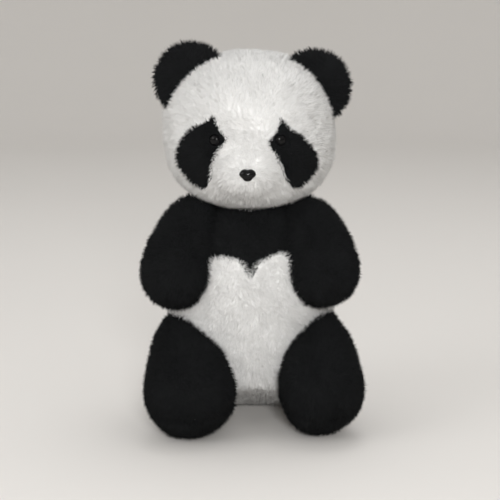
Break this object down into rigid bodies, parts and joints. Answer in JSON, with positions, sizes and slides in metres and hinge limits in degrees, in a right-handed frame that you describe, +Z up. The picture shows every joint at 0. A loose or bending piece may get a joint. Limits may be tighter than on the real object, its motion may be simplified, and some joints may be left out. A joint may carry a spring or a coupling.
{
  "type": "plush panda",
  "caption": "Seated plush toy panda with a round white head, black eye patches, ears, arms and legs, glossy eyes and nose, and limbs that bend at sewn seams.",
  "frame": {"origin": "on the floor, under the middle of the toy's bounding box", "axes": "+Z up through the head, -Y out of the face, +X towards the panda's own left side"},
  "size_m": [0.1932, 0.181, 0.3362],
  "materials": {
    "white_plush": "short matt pile",
    "black_plush": "short matt pile",
    "stuffing": "loose polyester fibre",
    "thread": "sewing thread",
    "gloss_black": "polished, domed",
    "washer_plastic": "natural moulded plastic"
  },
  "bodies": {
    "torso": {"chest_left": "black_plush", "chest_right": "black_plush", "belly_left": "white_plush", "belly_right": "white_plush", "back_upper_left": "black_plush", "back_upper_right": "black_plush", "back_lower_left": "white_plush", "back_lower_right": "white_plush", "seat_panel": "white_plush", "torso_filling": "stuffing", "closing_seam_thread": "thread"},
    "neck": {"neck_filling": "stuffing", "neck_thread": "thread"},
    "head": {"face_left": "white_plush", "head_back_left": "white_plush", "eye_patch_left": "black_plush", "eye_left": "gloss_black", "eye_washer_left": "washer_plastic", "face_right": "white_plush", "head_back_right": "white_plush", "eye_patch_right": "black_plush", "eye_right": "gloss_black", "eye_washer_right": "washer_plastic", "nose": "gloss_black", "nose_washer": "washer_plastic", "head_filling": "stuffing"},
    "ear_left": {"ear_front_left": "black_plush", "ear_back_left": "black_plush"},
    "ear_right": {"ear_front_right": "black_plush", "ear_back_right": "black_plush"},
    "arm_left": {"arm_front_left": "black_plush", "arm_back_left": "black_plush", "arm_filling_left": "stuffing"},
    "arm_right": {"arm_front_right": "black_plush", "arm_back_right": "black_plush", "arm_filling_right": "stuffing"},
    "leg_left": {"leg_front_left": "black_plush", "leg_back_left": "black_plush", "leg_filling_left": "stuffing"},
    "leg_right": {"leg_front_right": "black_plush", "leg_back_right": "black_plush", "leg_filling_right": "stuffing"}
  },
  "joints": [
    {"name": "head_turn", "type": "hinge", "parent": "torso", "child": "neck", "pos_m": [-0.00137, 0.02757, 0.195], "axis": [0, 0, 1], "range_deg": [-35, 35], "stiffness_Nm_per_rad": 1.2},
    {"name": "head_nod", "type": "hinge", "parent": "neck", "child": "head", "pos_m": [-0.00137, 0.02757, 0.195], "axis": [1, 0, 0], "range_deg": [-8, 8], "stiffness_Nm_per_rad": 3},
    {"name": "ear_left_fold", "type": "hinge", "parent": "head", "child": "ear_left", "pos_m": [0.05636, 0.01257, 0.297], "axis": [-0.4848, 0, 0.8746], "range_deg": [-20, 20], "stiffness_Nm_per_rad": 0.06},
    {"name": "ear_right_fold", "type": "hinge", "parent": "head", "child": "ear_right", "pos_m": [-0.05476, 0.01257, 0.30379], "axis": [0.5878, 0, 0.809], "range_deg": [-20, 20], "stiffness_Nm_per_rad": 0.06},
    {"name": "arm_left_lift", "type": "hinge", "parent": "torso", "child": "arm_left", "pos_m": [0.05463, 0.00273, 0.162], "axis": [-1, 0, 0], "range_deg": [-10, 60], "stiffness_Nm_per_rad": 0.5},
    {"name": "arm_right_lift", "type": "hinge", "parent": "torso", "child": "arm_right", "pos_m": [-0.05737, 0.00273, 0.162], "axis": [-1, 0, 0], "range_deg": [-10, 60], "stiffness_Nm_per_rad": 0.5},
    {"name": "leg_left_lift", "type": "hinge", "parent": "torso", "child": "leg_left", "pos_m": [0.06063, -0.00604, 0.072], "axis": [-1, 0, 0], "range_deg": [-10, 20], "stiffness_Nm_per_rad": 1},
    {"name": "leg_right_lift", "type": "hinge", "parent": "torso", "child": "leg_right", "pos_m": [-0.06337, -0.00604, 0.072], "axis": [-1, 0, 0], "range_deg": [-10, 20], "stiffness_Nm_per_rad": 1}
  ]
}
